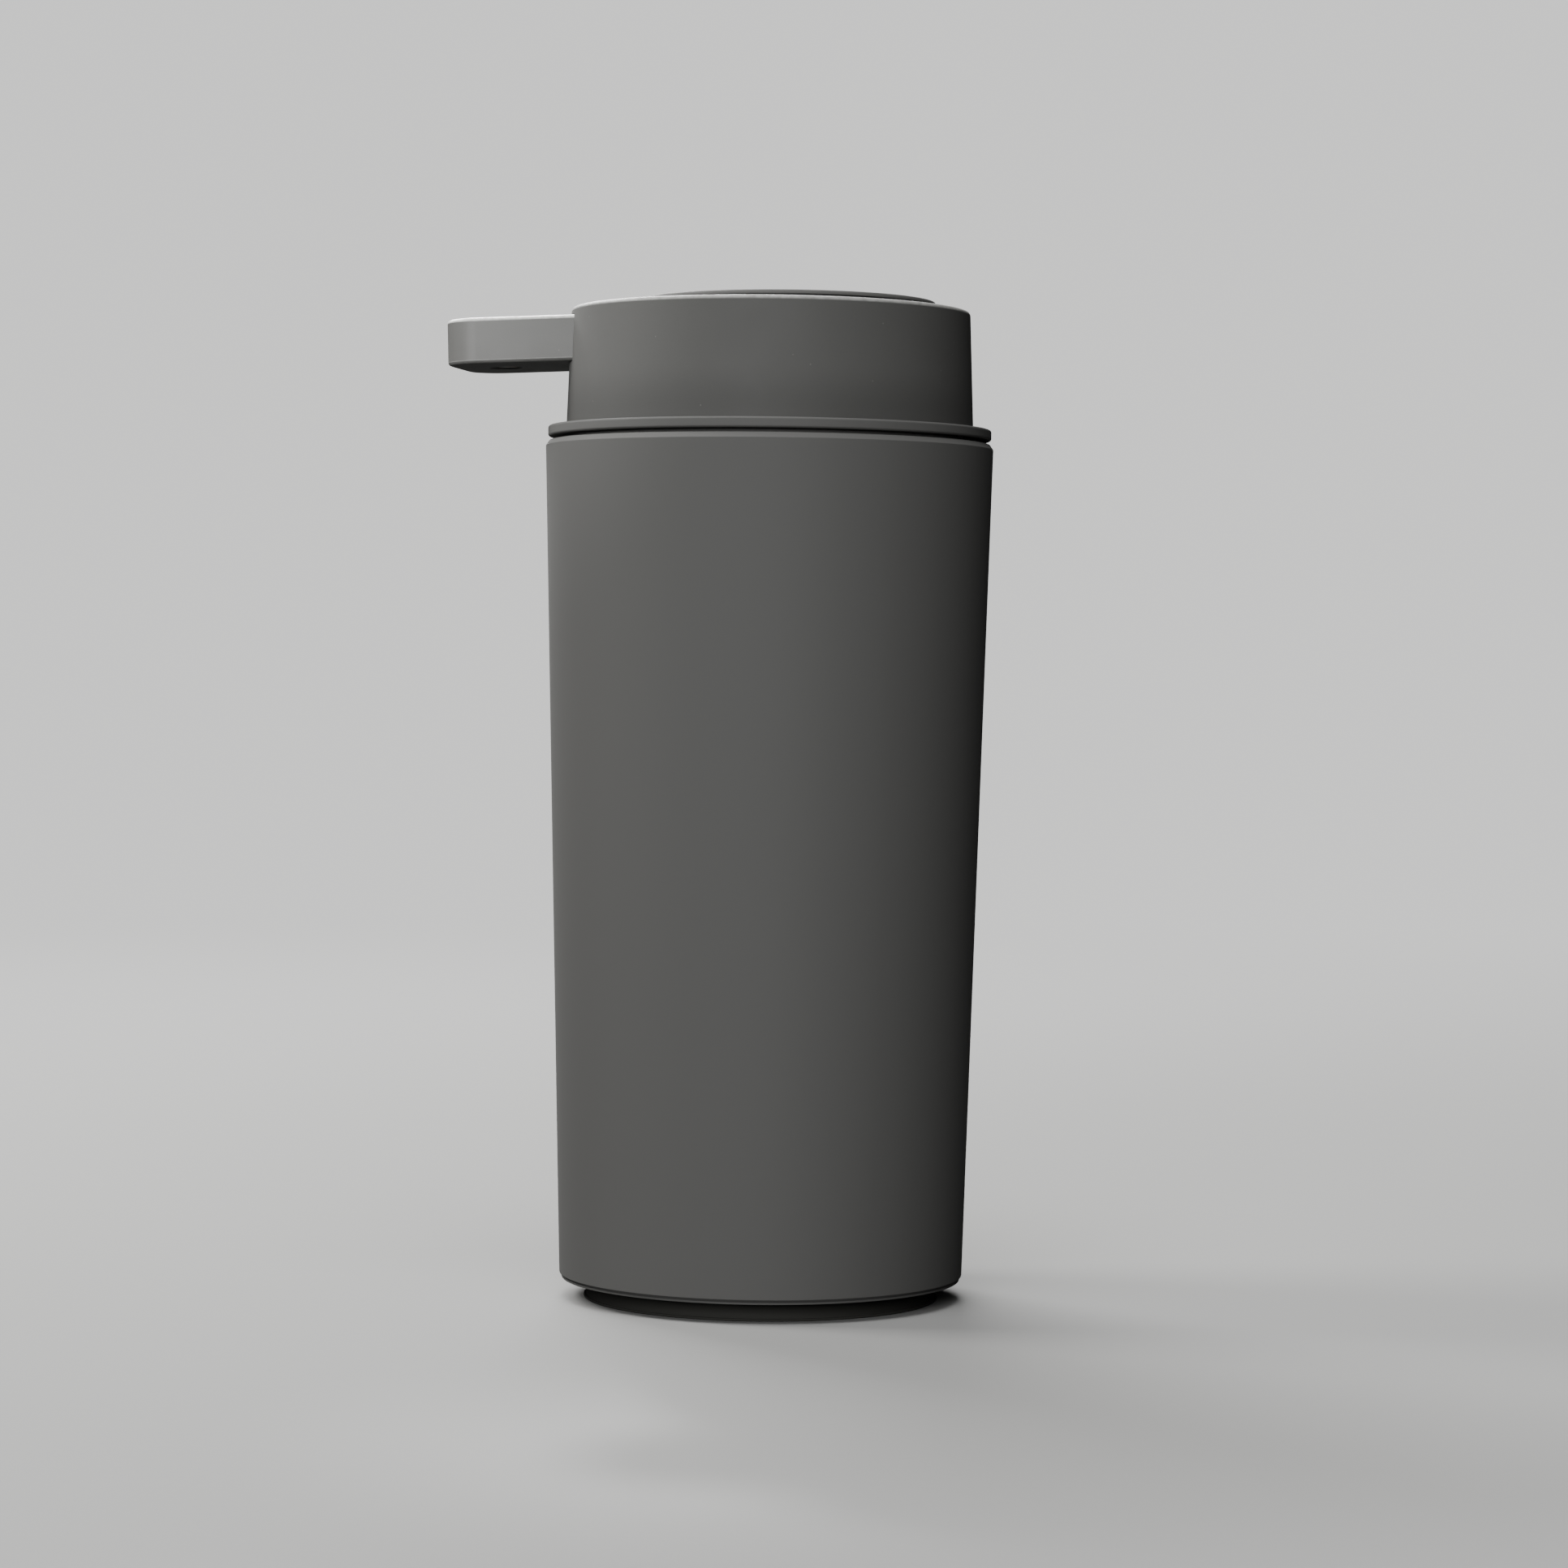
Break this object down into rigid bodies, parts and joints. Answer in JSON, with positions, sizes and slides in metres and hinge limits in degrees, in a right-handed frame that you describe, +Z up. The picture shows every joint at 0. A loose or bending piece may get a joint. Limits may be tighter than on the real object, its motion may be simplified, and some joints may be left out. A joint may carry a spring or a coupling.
{
  "type": "soap pump dispenser",
  "caption": "Round tapered soap dispenser: cup on a foot pad, lift-out lid with pump, and a press head with a flat side spout that telescopes into the collar.",
  "frame": {"origin": "on the dispenser's axis, on the underside of the foot pad", "axes": "+Z up along the axis, -X along the spout"},
  "size_m": [0.0977, 0.08, 0.1785],
  "materials": {
    "soft_touch_grey": "matte soft-touch grey, very fine grain",
    "foot_rubber": "satin black rubber",
    "seal_rubber": "dark silicone rubber",
    "natural_plastic": "milky natural plastic",
    "clear_tube": "translucent flexible tube",
    "spring_steel": "bright drawn stainless steel"
  },
  "bodies": {
    "base": {"cup": "soft_touch_grey", "foot_pad": "foot_rubber"},
    "lid": {"lid_collar": "soft_touch_grey", "lid_seal": "seal_rubber", "pump_gasket": "seal_rubber", "pump_housing": "natural_plastic", "stem_guide": "natural_plastic", "retaining_nut": "natural_plastic", "ball_retainer": "natural_plastic", "dip_tube": "clear_tube", "return_spring": "spring_steel"},
    "inlet_valve": {"inlet_ball": "spring_steel"},
    "plunger": {"pump_stem": "natural_plastic", "piston": "seal_rubber"},
    "outlet_valve": {"outlet_ball": "spring_steel"},
    "head": {"press_cap": "soft_touch_grey", "top_disc": "soft_touch_grey", "head_insert": "natural_plastic", "spout": "soft_touch_grey", "spout_tube": "natural_plastic", "nozzle_tip": "natural_plastic"}
  },
  "joints": [
    {"name": "lid_lift", "type": "slide", "parent": "base", "child": "lid", "axis": [0, 0, 1], "range_m": [0, 0.15]},
    {"name": "press_slide", "type": "slide", "parent": "lid", "child": "plunger", "axis": [0, 0, -1], "range_m": [0, 0.01], "stiffness_N_per_m": 500, "springref_m": -0.01, "deforming": ["return_spring"]},
    {"name": "head_swivel", "type": "hinge", "parent": "plunger", "child": "head", "pos_m": [0, 0, 0.1525], "axis": [0, 0, 1], "continuous": true},
    {"name": "inlet_lift", "type": "slide", "parent": "lid", "child": "inlet_valve", "axis": [0, 0, 1], "range_m": [0, 0.0011]},
    {"name": "outlet_lift", "type": "slide", "parent": "plunger", "child": "outlet_valve", "axis": [0, 0, 1], "range_m": [0, 0.0029]}
  ]
}
